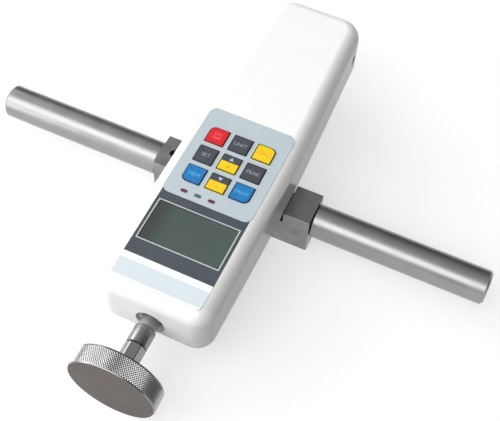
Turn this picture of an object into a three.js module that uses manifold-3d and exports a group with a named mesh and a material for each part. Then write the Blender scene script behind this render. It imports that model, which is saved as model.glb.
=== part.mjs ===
// A hand-held digital force gauge. A tapering two-shell housing carries the keypad, the display
// and the load cell. Its spindle leaves the sensor end and carries a knurled pressure disc, and a
// cradle bar with two handle rods is bolted across its back. Millimetres, +Z up. X runs along the
// handles, Y from the pressure disc to the tail, and the origin is the middle of the cradle's
// underside, which the gauge rests on.
import * as THREE from "three";
import { mergeVertices } from "three/addons/utils/BufferGeometryUtils.js";
import Module from "manifold-3d";

// Clearances that every piece shares.
const fit = {
  seat: 0.2, // between faces that rest on each other
  thread: 0.3, // round a screw or stud, and at the end of a turned piece
  overrun: 1, // by which a cutting tool passes the face that it cuts
  weld: 0.001, // corners closer than this are one
};

// The housing: its plan has convex sides up to the shoulder, then tapers straight to the tail.
const housing = {
  width: 66,
  length: 230,
  height: 36,
  wall: 2.5,
  frontEdge: 8.5,
  backEdge: 7,
  sensorCorner: 10.5,
  tailCorner: 13,
  coverDepth: 9,
  lipHeight: 1.5,
  lipRoot: 2.6,
  lipWall: 1.2,
};
const planShares = { sensorEnd: 0.976, shoulder: 0.985, tail: 0.855, shoulderPlace: 0.548, bulge: 0.13 };

// The foils on the front lie in one shallow recess, flush with the face. Places along the housing
// are measured from the outside of its sensor end.
const foil = { thickness: 0.8, corner: 3 };
const panel = { sideInset: 6.8, length: 63.6, corner: 4.4, start: 63.4 };
const windowFoil = { sideInset: 7.5, start: 21.8, overlap: 7.5 };
const labelPlate = { start: 6.1 };

const keypadShares = { pitchAcross: 0.271, keySize: 0.81 };
const keypad = {
  pitchAlong: 14.45,
  middle: 94,
  keyRise: 0.5,
  keyCorner: 0.5,
  outerCorner: 3.6,
  keyEdge: 0.3,
  skirtRim: 0.7,
  skirtThickness: 0.6,
  gap: 0.25,
  travel: 0.4,
};
const lamp = { width: 3.8, length: 2, corner: 0.8, pitch: 8.1, first: -14.3, place: 67.7, rise: 0.1 };

const display = {
  sideInset: 10,
  length: 25.4,
  middle: 44.4,
  corner: 0.6,
  setBack: 0.3,
  frameRim: 2.6,
  frameThickness: 1.4,
};

const board = {
  sideInset: 5.5,
  start: 20,
  end: 122.5,
  thickness: 1.6,
  corner: 2,
  drop: 1.8,
  postRadius: 3,
  postInset: 3.6,
};
const contactSheet = { thickness: 0.3, rim: 1.2, domeRadius: 3, gap: 0.1 };

// The force train: load cell, spindle, coupler and disc on one axis above the housing's back.
const train = { height: 14, boltRadius: 3, boltReach: 8, boreDepth: 9 };
const cell = {
  start: 35.2,
  length: 44,
  width: 30,
  thickness: 14,
  slot: 2,
  web: 6,
  slotOffset: 12,
  eyeRadius: 4.6,
  eyeSpacing: 10.5,
  corner: 0.8,
};
const spindle = {
  radius: 5.9,
  reach: 15,
  sleeveLength: 10.4,
  shaftRadius: 4.9,
  inside: 6,
  neckRadius: 4,
  neckEnd: 28,
  collarRadius: 7,
  edge: 0.4,
  holeClearance: 0.6,
  recessRadius: 8.3,
  recessDepth: 2,
};
const coupler = { length: 14.9, cornerRadius: 6, turnedRadius: 5.85, edge: 0.5, twist: -23 };
const disc = { radius: 24.5, thickness: 11.1, edge: 0.5 };
const bracket = { width: 28, upright: 7, base: 5, foot: 14, top: 21, padHeight: 4, screwInset: 5 };

const battery = { cellsAcross: 3, layers: 2, boardGap: 17, tailGap: 38.5, heightGap: 2.2, sideGap: 2.6 };
const batteryRib = { thickness: 1.5, height: 6 };

const jack = {
  tailInset: 16.5,
  height: 17,
  barrelRadius: 2.7,
  boreRadius: 1.9,
  boreDepth: 8,
  flangeRadius: 4.2,
  flangeGap: 0.5,
  flangeThickness: 1.5,
  bodyRadius: 4,
  bodyLength: 8,
  recess: 0.4,
};

// The cradle bar has a channel for the housing's back and an ear at each end for a handle rod.
const cradle = {
  length: 98.8,
  width: 21.8,
  height: 28,
  channelDepth: 8,
  sideGap: 0.3,
  place: 106.1,
  edge: 0.5,
};
const cradleShares = { screwSpacing: 0.606 };
const rod = {
  radius: 9.9,
  length: 103,
  outerEdge: 1.4,
  innerEdge: 0.6,
  studRadius: 5,
  studLength: 14,
  topMargin: 0.3,
};

// Screws: shank radius and length, head radius and height, and the radius and depth of the socket.
const shellScrew = { shank: 1.5, length: 22, head: 2.8, headHeight: 1.6, socket: 1.1, socketDepth: 0.9 };
const boardScrew = { shank: 1.25, length: 4.4, head: 2.4, headHeight: 1.4, socket: 0.9, socketDepth: 0.7 };
const bracketScrew = { shank: 2, length: 7.6, head: 3.4, headHeight: 3, socket: 1.6, socketDepth: 1.6 };
const cellBolt = { shank: 3, length: 15, head: 4.8, headHeight: 5, socket: 2.6, socketDepth: 2.6 };
const cradleScrew = { shank: 2.5, length: 22, head: 4.2, headHeight: 4.8, socket: 2.2, socketDepth: 2.4 };
const grubScrew = { radius: 2, length: 4.3, socket: 1.1, socketDepth: 1.8 };
const boss = { radius: 4, sensorInset: 13.7, tailInset: 28, edgeDistance: 8.4, sinkDepth: 1.8 };
const cradleBoss = { radius: 5, height: 9.5, floor: 1 };

// Counts of facets.
const steps = {
  corner: 6,
  side: 5,
  edge: 5,
  small: 3,
  round: 24,
  screw: 16,
  disc: 72,
  rod: 40,
  hexagon: 6,
};

// What follows from the sizes above.
const tailWidth = housing.width * planShares.tail;
const panelWidth = housing.width - 2 * panel.sideInset;
const windowFoilWidth = housing.width - 2 * windowFoil.sideInset;
const displayWidth = housing.width - 2 * display.sideInset;
const boardWidth = housing.width - 2 * board.sideInset;
const pitchAcross = panelWidth * keypadShares.pitchAcross;
const keySize = Math.min(pitchAcross, keypad.pitchAlong) * keypadShares.keySize;
const screwSpacing = housing.width * cradleShares.screwSpacing;
const jackPlace = housing.length - jack.tailInset;
const batteryStart = board.end + battery.boardGap;
const batteryLength = housing.length - battery.tailGap - batteryStart;
const roomForCells = [
  (housing.height - 2 * housing.wall - battery.heightGap) / (2 * battery.layers),
  (tailWidth / 2 - housing.wall - batteryRib.thickness - battery.sideGap) / battery.cellsAcross,
];
const cellRadius = Math.min(...roomForCells);
const backHeight = cradle.height - cradle.channelDepth + fit.seat;
const channelWidth = housing.width + 2 * cradle.sideGap;
const recessFloor = housing.height - foil.thickness - fit.seat;
const innerFront = housing.height - housing.wall;
const boardTop = innerFront - board.drop - fit.seat;
const skirtTop = innerFront - fit.seat;
const skirtBottom = skirtTop - keypad.skirtThickness;
const panelMiddle = panel.start + panel.length / 2;
const windowEnd = panel.start + windowFoil.overlap;
const rodHeight = cradle.height - rod.radius - rod.topMargin;
const earMiddle = (channelWidth + cradle.length) / 4;
const bracketStart = cell.start + cell.length + fit.thread;
const bracketBase = bracket.padHeight + fit.seat;

const paint = (name, color, roughness, metalness) =>
  new THREE.MeshStandardMaterial({ name, color, roughness, metalness });
const finishes = {
  shell: paint("white_shell", 0xf2f2f0, 0.3, 0),
  panel: paint("blue_grey_foil", 0xb8c8d0, 0.5, 0),
  slate: paint("slate_foil", 0x535a63, 0.4, 0),
  label: paint("pale_foil", 0xe6eef2, 0.5, 0),
  glass: paint("display_glass", 0x5a6660, 0.15, 0),
  red: paint("red_key", 0xe81c24, 0.4, 0),
  yellow: paint("yellow_key", 0xfcd400, 0.4, 0),
  blue: paint("blue_key", 0x1c82c8, 0.4, 0),
  dark: paint("dark_key", 0x45484d, 0.4, 0),
  lamp: paint("lamp_lens", 0x5a2a34, 0.3, 0),
  greenLamp: paint("green_lamp_lens", 0x3c6a60, 0.3, 0),
  board: paint("circuit_board", 0x1f5a38, 0.5, 0),
  rubber: paint("contact_sheet", 0x9a9a96, 0.8, 0),
  wrap: paint("battery_wrap", 0x2d4a78, 0.4, 0),
  socket: paint("black_socket", 0x1a1a1c, 0.5, 0),
  steel: paint("turned_steel", 0x9d9c9a, 0.3, 1),
  polished: paint("polished_steel", 0xb8b8b8, 0.2, 1),
  aluminium: paint("cell_aluminium", 0xc4c6c8, 0.4, 1),
  screw: paint("zinc_screw", 0xb0b2b4, 0.35, 1),
};

const wasm = await Module();
wasm.setup();

const flat = (x, y) => new THREE.Vector2(x, y);
const origin = flat(0, 0);

// A closed three.js geometry as a solid that can be joined and cut.
function solid(geometry) {
  const bare = new THREE.BufferGeometry();
  bare.setAttribute("position", geometry.getAttribute("position"));
  bare.setIndex(geometry.index);
  const merged = mergeVertices(bare, fit.weld);
  const corners = merged.index.array;
  const kept = [];
  for (let i = 0; i < corners.length; i += 3) {
    const [a, b, c] = corners.subarray(i, i + 3);
    if (a !== b && b !== c && c !== a) kept.push(a, b, c);
  }
  const vertProperties = merged.getAttribute("position").array;
  const triVerts = Uint32Array.from(kept);
  return new wasm.Manifold(new wasm.Mesh({ numProp: 3, vertProperties, triVerts }));
}

const join = (first, ...others) => others.reduce((whole, piece) => whole.add(piece), first);
const cut = (first, ...tools) => tools.reduce((whole, tool) => whole.subtract(tool), first);

function mesh(name, body, material) {
  const data = body.getMesh();
  const geometry = new THREE.BufferGeometry();
  geometry.setAttribute("position", new THREE.BufferAttribute(data.vertProperties, 3));
  geometry.setIndex(new THREE.BufferAttribute(data.triVerts, 1));
  geometry.computeVertexNormals();
  const made = new THREE.Mesh(geometry, material);
  made.name = name;
  return made;
}

function block(low, high) {
  const size = high.map((value, i) => value - low[i]);
  const geometry = new THREE.BoxGeometry(...size);
  geometry.translate(...low.map((value, i) => value + size[i] / 2));
  return solid(geometry);
}

// Turns a geometry made along +Y so that it points along an axis, and moves its start to a place.
function place(geometry, axis, start) {
  const direction = new THREE.Vector3(...axis);
  const turned = new THREE.Quaternion().setFromUnitVectors(new THREE.Vector3(0, 1, 0), direction);
  geometry.applyQuaternion(turned);
  geometry.translate(...start);
  return geometry;
}

function cylinder(radius, length, axis, start, segments = steps.screw) {
  const geometry = new THREE.CylinderGeometry(radius, radius, length, segments);
  geometry.translate(0, length / 2, 0);
  return solid(place(geometry, axis, start));
}

// A turned piece: its profile runs from the axis at the start to the axis at the end.
function turned(profile, axis, start, segments = steps.screw) {
  const geometry = new THREE.LatheGeometry(profile.map(([r, h]) => flat(r, h)), segments);
  return solid(place(geometry, axis, start));
}

// The rounded corner of an outline that is walked anticlockwise: each point has its outward direction.
function corner(at, before, after, radius, count) {
  const angle = Math.acos(before.dot(after));
  const inward = flat(-before.y, before.x);
  const centre = at.clone().addScaledVector(before, -radius * Math.tan(angle / 2));
  centre.addScaledVector(inward, radius);
  return Array.from({ length: count + 1 }, (_, i) => {
    const out = inward.clone().negate().rotateAround(origin, (angle * i) / count);
    return { point: centre.clone().addScaledVector(out, radius), out };
  });
}

// A rectangle round a middle point, with a radius for each corner, anticlockwise from the front right.
function rectangle(width, length, radii, middle = origin, count = steps.small) {
  const along = [flat(1, 0), flat(0, 1), flat(-1, 0), flat(0, -1)];
  const places = [flat(1, -1), flat(1, 1), flat(-1, 1), flat(-1, -1)];
  return places.flatMap((share, i) => {
    const at = flat((share.x * width) / 2 + middle.x, (share.y * length) / 2 + middle.y);
    return corner(at, along[i], along[(i + 1) % along.length], radii[i], count);
  });
}

const ring = (outline, inset, height) =>
  outline.map(({ point, out }) => {
    const moved = point.clone().addScaledVector(out, -inset);
    return new THREE.Vector3(moved.x, moved.y, height);
  });

// Skins a stack of rings that have as many points each, from the lowest to the highest.
function loft(rings) {
  const count = rings[0].length;
  const positions = rings.flat().flatMap((p) => [p.x, p.y, p.z]);
  const index = [];
  for (let level = 0; level < rings.length - 1; level++) {
    for (let i = 0; i < count; i++) {
      const a = level * count + i;
      const b = level * count + ((i + 1) % count);
      index.push(a, b, b + count, a, b + count, a + count);
    }
  }
  const cap = (points) => THREE.ShapeUtils.triangulateShape(points.map((p) => flat(p.x, p.y)), []);
  const last = (rings.length - 1) * count;
  for (const [a, b, c] of cap(rings[0])) index.push(a, c, b);
  for (const [a, b, c] of cap(rings.at(-1))) index.push(last + a, last + b, last + c);
  const geometry = new THREE.BufferGeometry();
  geometry.setAttribute("position", new THREE.Float32BufferAttribute(positions, 3));
  geometry.setIndex(index);
  return solid(geometry);
}

const slab = (outline, low, high, grow = 0) =>
  loft([ring(outline, -grow, low), ring(outline, -grow, high)]);

// A screw that points along +Y from under its head, with a socket in the head.
function screwBody(size) {
  const top = -size.headHeight;
  const profile = [
    [0, top + size.socketDepth],
    [size.socket, top + size.socketDepth],
    [size.socket, top],
    [size.head, top],
    [size.head, 0],
    [size.shank, 0],
    [size.shank, size.length],
    [0, size.length],
  ];
  return turned(profile, [0, 1, 0], [0, 0, 0]);
}

function screws(size, names, places, direction, material = finishes.screw) {
  const body = screwBody(size);
  const from = new THREE.Vector3(0, 1, 0);
  return names.map((name, i) => {
    const made = mesh(name, body, material);
    made.position.set(...places[i]);
    made.quaternion.setFromUnitVectors(from, new THREE.Vector3(...direction));
    return made;
  });
}

// The housing's outline, anticlockwise from the right-hand sensor corner.
function housingOutline() {
  const half = housing.width / 2;
  const start = flat(half * planShares.sensorEnd, 0);
  const shoulder = flat(half * planShares.shoulder, housing.length * planShares.shoulderPlace);
  const tail = flat(tailWidth / 2, housing.length);
  const taper = tail.clone().sub(shoulder).normalize();
  const control = shoulder.clone().addScaledVector(taper, -housing.length * planShares.bulge);
  const side = new THREE.QuadraticBezierCurve(start, control, shoulder);
  const right = [
    ...corner(start, flat(1, 0), side.getTangent(0), housing.sensorCorner, steps.corner),
    ...Array.from({ length: steps.side }, (_, i) => {
      const share = (i + 1) / steps.side;
      const direction = side.getTangent(share);
      return { point: side.getPoint(share), out: flat(direction.y, -direction.x) };
    }),
    ...corner(tail, taper, flat(-1, 0), housing.tailCorner, steps.corner),
  ];
  const mirrored = right.map(({ point, out }) => ({
    point: flat(-point.x, point.y),
    out: flat(-out.x, out.y),
  }));
  return [...right, ...mirrored.reverse()];
}

// The whole housing's outer form, or what is left of it inside a skin of some thickness.
function housingForm(skin) {
  const outline = housingOutline();
  const rings = [];
  for (let i = 0; i <= steps.edge; i++) {
    const angle = (Math.PI / 2) * (i / steps.edge);
    const radius = housing.backEdge - skin;
    const inset = housing.backEdge - radius * Math.sin(angle);
    rings.push(ring(outline, inset, housing.backEdge - radius * Math.cos(angle)));
  }
  for (let i = 0; i <= steps.edge; i++) {
    const angle = (Math.PI / 2) * (i / steps.edge);
    const radius = housing.frontEdge - skin;
    const inset = housing.frontEdge - radius * Math.cos(angle);
    rings.push(ring(outline, inset, housing.height - housing.frontEdge + radius * Math.sin(angle)));
  }
  return loft(rings);
}

// A layer across the whole housing, to split a form by height.
function layer(low, high) {
  const reach = housing.width;
  return block([-reach, -reach, low], [reach, housing.length + reach, high]);
}

const keyColumns = [-1, 0, 1].map((column) => column * pitchAcross);
const keyRows = [1, 0, -1].map((row) => keypad.middle + row * keypad.pitchAlong);
const keyNames = [
  ["power_key", "unit_key", "zero_key"],
  ["set_key", "up_key", "peak_key"],
  ["memory_key", "down_key", "print_key"],
];
const keyFinishes = [
  [finishes.red, finishes.dark, finishes.yellow],
  [finishes.dark, finishes.yellow, finishes.dark],
  [finishes.blue, finishes.yellow, finishes.blue],
];
const keyCell = (i) => [Math.floor(i / keyColumns.length), i % keyColumns.length];
const keyPlaces = keyRows.flatMap((y) => keyColumns.map((x) => [x, y]));
const lampPlaces = [0, 1, 2].map((i) => [lamp.first + i * lamp.pitch, lamp.place]);

// The four keys at the keypad's corners have one wide corner each, on the side that faces out.
function keyOutline(row, column) {
  const plain = keypad.keyCorner;
  const wide = keypad.outerCorner;
  const radii = [
    row === 2 && column === 2 ? wide : plain,
    row === 0 && column === 2 ? wide : plain,
    row === 0 && column === 0 ? wide : plain,
    row === 2 && column === 0 ? wide : plain,
  ];
  return rectangle(keySize, keySize, radii);
}

const moved = (outline, x, y) =>
  outline.map(({ point, out }) => ({ point: flat(point.x + x, point.y + y), out }));

const foilCorners = [foil.corner, foil.corner, foil.corner, foil.corner];
const panelCorners = [panel.corner, panel.corner, panel.corner, panel.corner];
const panelOutline = rectangle(panelWidth, panel.length, panelCorners, flat(0, panelMiddle), steps.corner);
const displayCorners = [display.corner, display.corner, display.corner, display.corner];
const displayOutline = rectangle(displayWidth, display.length, displayCorners, flat(0, display.middle));
const lampCorners = [lamp.corner, lamp.corner, lamp.corner, lamp.corner];
const lampOutline = rectangle(lamp.width, lamp.length, lampCorners);

function lowerFoilOutline(start, end, radii) {
  return rectangle(windowFoilWidth, end - start, radii, flat(0, (start + end) / 2));
}

const bossPlaces = [
  [1, boss.sensorInset],
  [-1, boss.sensorInset],
  [1, housing.length - boss.tailInset],
  [-1, housing.length - boss.tailInset],
].map(([side, y]) => {
  const half = y < housing.length / 2 ? (housing.width * planShares.sensorEnd) / 2 : tailHalfWidth(y);
  return [side * (half - boss.edgeDistance), y];
});

// Half the housing's width on its straight taper, at a place along it.
function tailHalfWidth(y) {
  const shoulderHalf = (housing.width / 2) * planShares.shoulder;
  const shoulderPlace = housing.length * planShares.shoulderPlace;
  const share = (y - shoulderPlace) / (housing.length - shoulderPlace);
  return shoulderHalf + (tailWidth / 2 - shoulderHalf) * share;
}

const postPlaces = [board.start + board.postInset, board.end - board.postInset].flatMap((y) =>
  [1, -1].map((side) => [side * (boardWidth / 2 - board.postInset), y]),
);

const sensorAxis = [0, 1, 0];
const up = [0, 0, 1];
const jackWall = tailHalfWidth(jackPlace);

// The spindle's way out of the sensor end: a hole across the seam, with a shallow recess round it.
function spindleWay() {
  const start = [0, -fit.overrun, train.height];
  const through = housing.wall + housing.lipWall + fit.seat + 2 * fit.overrun;
  const hole = spindle.shaftRadius + spindle.holeClearance;
  const recess = spindle.recessDepth + fit.overrun;
  return join(
    cylinder(hole, through, sensorAxis, start, steps.round),
    cylinder(spindle.recessRadius, recess, sensorAxis, start, steps.round),
  );
}

// The front shell carries the foils, the keypad and the display.
function frontShell() {
  let body = cut(housingForm(0), housingForm(housing.wall));
  body = body.intersect(layer(housing.coverDepth, housing.height + fit.overrun));
  const bossBottom = housing.coverDepth + fit.seat;
  const bossTop = innerFront + housing.wall / 2;
  for (const [x, y] of bossPlaces) {
    body = join(body, cylinder(boss.radius, bossTop - bossBottom, up, [x, y, bossBottom]));
    const pilot = shellScrew.shank + fit.thread;
    const depth = shellScrew.length - (bossBottom - boss.sinkDepth) + fit.overrun;
    body = cut(body, cylinder(pilot, depth + fit.overrun, up, [x, y, bossBottom - fit.overrun]));
  }
  for (const [x, y] of postPlaces) {
    const bottom = boardTop + fit.seat;
    body = join(body, cylinder(board.postRadius, bossTop - bottom, up, [x, y, bottom]));
    const depth = boardScrew.length - board.thickness - fit.seat;
    const pilot = boardScrew.shank + fit.thread;
    body = cut(body, cylinder(pilot, depth + fit.thread, up, [x, y, bottom - fit.thread]));
  }
  const high = housing.height + fit.overrun;
  const low = innerFront - fit.overrun;
  body = cut(body, slab(panelOutline, recessFloor, high, fit.seat));
  const lower = lowerFoilOutline(labelPlate.start, windowEnd, foilCorners);
  body = cut(body, slab(lower, recessFloor, high, fit.seat));
  body = cut(body, slab(displayOutline, low, high, fit.thread));
  keyPlaces.forEach(([x, y], i) => {
    const outline = moved(keyOutline(...keyCell(i)), x, y);
    body = cut(body, slab(outline, low, high, keypad.gap));
  });
  for (const [x, y] of lampPlaces) body = cut(body, slab(moved(lampOutline, x, y), low, high, fit.seat));
  const jackHole = jack.barrelRadius + fit.thread;
  const outside = [jackWall + fit.overrun, jackPlace, jack.height];
  return cut(body, spindleWay(), cylinder(jackHole, housing.wall + 2 * fit.overrun, [-1, 0, 0], outside));
}

// The back cover closes the front shell, and carries the load cell and the battery.
function backCover() {
  let body = cut(housingForm(0), housingForm(housing.wall));
  body = body.intersect(layer(-fit.overrun, housing.coverDepth));
  const lipOuter = housing.wall + fit.seat;
  const lipInside = housingForm(lipOuter + housing.lipWall);
  const lipTop = housing.coverDepth + housing.lipHeight;
  const lipBottom = housing.coverDepth - housing.lipRoot;
  const lip = housingForm(lipOuter).intersect(layer(lipBottom, lipTop));
  const root = housingForm(housing.wall / 2).intersect(layer(lipBottom, housing.coverDepth));
  body = join(body, cut(join(lip, root), lipInside));
  const floor = housing.wall / 2;
  for (const [x, y] of bossPlaces) {
    body = join(body, cylinder(boss.radius, housing.coverDepth - floor, up, [x, y, floor]));
    const sink = shellScrew.head + fit.thread;
    body = cut(body, cylinder(sink, boss.sinkDepth + fit.overrun, up, [x, y, -fit.overrun]));
    const way = shellScrew.shank + fit.thread;
    body = cut(body, cylinder(way, housing.coverDepth + fit.overrun, up, [x, y, 0]));
  }
  for (const side of [1, -1]) {
    const at = [(side * screwSpacing) / 2, cradle.place];
    body = join(body, cylinder(cradleBoss.radius, cradleBoss.height - floor, up, [...at, floor]));
    const depth = cradleBoss.height - cradleBoss.floor + fit.overrun;
    body = cut(body, cylinder(cradleScrew.shank + fit.thread, depth, up, [...at, -fit.overrun]));
  }
  const padHalf = bracket.width / 2;
  const padEnd = bracketStart + bracket.upright + bracket.foot;
  body = join(body, block([-padHalf, bracketStart, floor], [padHalf, padEnd, bracket.padHeight]));
  for (const [x, y] of bracketScrewPlaces) {
    const low = bracketBase + bracket.base - bracketScrew.length - fit.thread;
    const depth = bracket.padHeight - low + fit.overrun;
    body = cut(body, cylinder(bracketScrew.shank + fit.thread, depth, up, [x, y, low]));
  }
  const ribInner = batteryHalf + fit.seat;
  const ribOuter = ribInner + batteryRib.thickness;
  const ribEnds = [batteryStart - fit.seat, batteryStart + batteryLength + fit.seat];
  const frame = [ribOuter, ribEnds[0] - batteryRib.thickness, ribEnds[1] + batteryRib.thickness];
  const outer = block([-frame[0], frame[1], floor], [frame[0], frame[2], batteryRib.height]);
  const inner = block(
    [-ribInner, ribEnds[0], floor - fit.overrun],
    [ribInner, ribEnds[1], batteryRib.height + fit.overrun],
  );
  return cut(join(body, cut(outer, inner)), spindleWay());
}

const batteryHalf = cellRadius * battery.cellsAcross;
const bracketScrewPlaces = [1, -1].map((side) => [
  side * (bracket.width / 2 - bracket.screwInset),
  bracketStart + bracket.upright + bracket.foot - bracket.screwInset,
]);

function keypadPanel() {
  let body = slab(panelOutline, recessFloor + fit.seat, housing.height);
  const low = recessFloor;
  const high = housing.height + fit.overrun;
  keyPlaces.forEach(([x, y], i) => {
    const outline = moved(keyOutline(...keyCell(i)), x, y);
    body = cut(body, slab(outline, low, high, keypad.gap));
  });
  for (const [x, y] of lampPlaces) body = cut(body, slab(moved(lampOutline, x, y), low, high, fit.seat));
  return body;
}

// The slate foil round the display runs up beside the panel's two rounded lower corners.
function displayWindow() {
  const outline = lowerFoilOutline(windowFoil.start, windowEnd, displayCorners);
  const body = slab(outline, recessFloor + fit.seat, housing.height);
  const low = recessFloor;
  const high = housing.height + fit.overrun;
  const aperture = slab(displayOutline, low, high, fit.seat);
  return largest(cut(body, slab(panelOutline, low, high, fit.seat), aperture));
}

// The body of a solid that holds the most material.
function largest(body) {
  return body.decompose().reduce((best, piece) => (piece.volume() > best.volume() ? piece : best));
}

function labelFoil() {
  const radii = [foil.corner, display.corner, display.corner, foil.corner];
  const outline = lowerFoilOutline(labelPlate.start, windowFoil.start - fit.seat, radii);
  return slab(outline, recessFloor + fit.seat, housing.height);
}

// A key is a cap with a small edge and a skirt under the shell's wall, which stops its way up.
function keyBody(row, column) {
  const outline = keyOutline(row, column);
  const top = housing.height + keypad.keyRise;
  const cap = loft([
    ring(outline, 0, skirtBottom),
    ring(outline, 0, top - keypad.keyEdge),
    ring(outline, keypad.keyEdge, top),
  ]);
  return join(cap, slab(outline, skirtBottom, skirtTop, keypad.skirtRim));
}

function displayModule() {
  const bottom = boardTop + fit.seat;
  const top = housing.height - display.setBack;
  const frame = slab(displayOutline, bottom, bottom + display.frameThickness, display.frameRim);
  return join(frame, slab(displayOutline, bottom, top));
}

function mainBoard() {
  const radii = [board.corner, board.corner, board.corner, board.corner];
  const middle = flat(0, (board.start + board.end) / 2);
  const outline = rectangle(boardWidth, board.end - board.start, radii, middle);
  const bottom = boardTop - board.thickness;
  let body = slab(outline, bottom, boardTop);
  for (const [x, y] of postPlaces) {
    const way = boardScrew.shank + fit.thread;
    const start = [x, y, bottom - fit.overrun];
    body = cut(body, cylinder(way, board.thickness + 2 * fit.overrun, up, start));
  }
  return body;
}

// The rubber sheet on the board has one dome under each key.
function keyContacts() {
  const width = 2 * pitchAcross + keySize + 2 * contactSheet.rim;
  const length = 2 * keypad.pitchAlong + keySize + 2 * contactSheet.rim;
  const outline = rectangle(width, length, foilCorners, flat(0, keypad.middle));
  const bottom = boardTop + fit.seat;
  let body = slab(outline, bottom, bottom + contactSheet.thickness);
  const domeLength = skirtBottom - keypad.travel - contactSheet.gap - bottom;
  for (const [x, y] of keyPlaces) {
    body = join(body, cylinder(contactSheet.domeRadius, domeLength, up, [x, y, bottom]));
  }
  return body;
}

// An S-shaped load cell: two slots from opposite sides and a double eye leave thin bending webs.
function loadCell() {
  const half = cell.width / 2;
  const middle = cell.start + cell.length / 2;
  const low = train.height - cell.thickness / 2;
  const high = train.height + cell.thickness / 2;
  const radii = [cell.corner, cell.corner, cell.corner, cell.corner];
  let body = slab(rectangle(cell.width, cell.length, radii, flat(0, middle)), low, high);
  for (const side of [1, -1]) {
    const y = middle + side * cell.slotOffset;
    const edges = [-side * (half + fit.overrun), side * (half - cell.web)].sort((a, b) => a - b);
    const slotLow = [edges[0], y - cell.slot / 2, low - fit.overrun];
    const slotHigh = [edges[1], y + cell.slot / 2, high + fit.overrun];
    body = cut(body, block(slotLow, slotHigh));
    const eye = [(side * cell.eyeSpacing) / 2, middle, low - fit.overrun];
    const through = cell.thickness + 2 * fit.overrun;
    body = cut(body, cylinder(cell.eyeRadius, through, up, eye, steps.round));
  }
  const neckLow = [-cell.eyeSpacing / 2, middle - cell.slot / 2, low - fit.overrun];
  const neckHigh = [cell.eyeSpacing / 2, middle + cell.slot / 2, high + fit.overrun];
  body = cut(body, block(neckLow, neckHigh));
  const bore = train.boltRadius + fit.thread;
  const depth = train.boreDepth + fit.overrun;
  const front = [0, cell.start - fit.overrun, train.height];
  const back = [0, cell.start + cell.length + fit.overrun, train.height];
  return cut(body, cylinder(bore, depth, sensorAxis, front), cylinder(bore, depth, [0, -1, 0], back));
}

// The angle bracket holds the cell's fixed end on the back cover.
function cellBracket() {
  const half = bracket.width / 2;
  const end = bracketStart + bracket.upright;
  const upright = block([-half, bracketStart, bracketBase], [half, end, bracket.top]);
  const footTop = [half, end + bracket.foot, bracketBase + bracket.base];
  let body = join(upright, block([-half, bracketStart, bracketBase], footTop));
  const hole = train.boltRadius + fit.thread;
  const start = [0, bracketStart - fit.overrun, train.height];
  body = cut(body, cylinder(hole, bracket.upright + 2 * fit.overrun, sensorAxis, start));
  for (const [x, y] of bracketScrewPlaces) {
    const way = bracketScrew.shank + fit.thread;
    const low = [x, y, bracketBase - fit.overrun];
    body = cut(body, cylinder(way, bracket.base + 2 * fit.overrun, up, low));
  }
  return body;
}

// The spindle, from the stud outside that takes the coupler to the stud in the load cell. Its sleeve
// ends in front of the housing, and a thinner shaft goes through the hole.
function spindleBody() {
  const tip = -spindle.reach;
  const shoulder = tip + spindle.sleeveLength;
  const seat = cell.start - fit.thread;
  const profile = [
    [0, tip - train.boltReach],
    [train.boltRadius, tip - train.boltReach],
    [train.boltRadius, tip],
    [spindle.radius - spindle.edge, tip],
    [spindle.radius, tip + spindle.edge],
    [spindle.radius, shoulder - spindle.edge],
    [spindle.radius - spindle.edge, shoulder],
    [spindle.shaftRadius, shoulder],
    [spindle.shaftRadius, spindle.inside],
    [spindle.neckRadius, spindle.inside],
    [spindle.neckRadius, spindle.neckEnd],
    [spindle.collarRadius, spindle.neckEnd],
    [spindle.collarRadius, seat],
    [train.boltRadius, seat],
    [train.boltRadius, seat + train.boltReach],
    [0, seat + train.boltReach],
  ];
  return turned(profile, sensorAxis, [0, 0, train.height], steps.round);
}

// A hexagon bar with turned ends, bored for the spindle's stud, with a stud of its own for the disc.
function couplerBody() {
  const start = -spindle.reach - fit.thread;
  const end = start - coupler.length;
  const hexagon = new THREE.CylinderGeometry(
    coupler.cornerRadius,
    coupler.cornerRadius,
    coupler.length,
    steps.hexagon,
  );
  hexagon.rotateY(THREE.MathUtils.degToRad(coupler.twist));
  hexagon.translate(0, start - coupler.length / 2, train.height);
  const edge = coupler.turnedRadius - coupler.edge;
  const profile = [
    [0, end],
    [edge, end],
    [coupler.turnedRadius, end + coupler.edge],
    [coupler.turnedRadius, start - coupler.edge],
    [edge, start],
    [0, start],
  ];
  const barrel = turned(profile, sensorAxis, [0, 0, train.height], steps.round);
  const bore = train.boltRadius + fit.thread;
  const mouth = [0, start + fit.overrun, train.height];
  const body = cut(
    solid(hexagon).intersect(barrel),
    cylinder(bore, train.boreDepth + fit.overrun, [0, -1, 0], mouth),
  );
  const studStart = [0, end - train.boltReach, train.height];
  return join(body, cylinder(train.boltRadius, train.boltReach + fit.overrun, sensorAxis, studStart));
}

const discBack = -spindle.reach - fit.thread - coupler.length - fit.thread;

function discBody() {
  const front = discBack - disc.thickness;
  const bore = train.boltRadius + fit.thread;
  const profile = [
    [0, front],
    [disc.radius - disc.edge, front],
    [disc.radius, front + disc.edge],
    [disc.radius, discBack - disc.edge],
    [disc.radius - disc.edge, discBack],
    [bore, discBack],
    [bore, discBack - train.boreDepth],
    [0, discBack - train.boreDepth],
  ];
  return turned(profile, sensorAxis, [0, 0, train.height], steps.disc);
}

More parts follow.
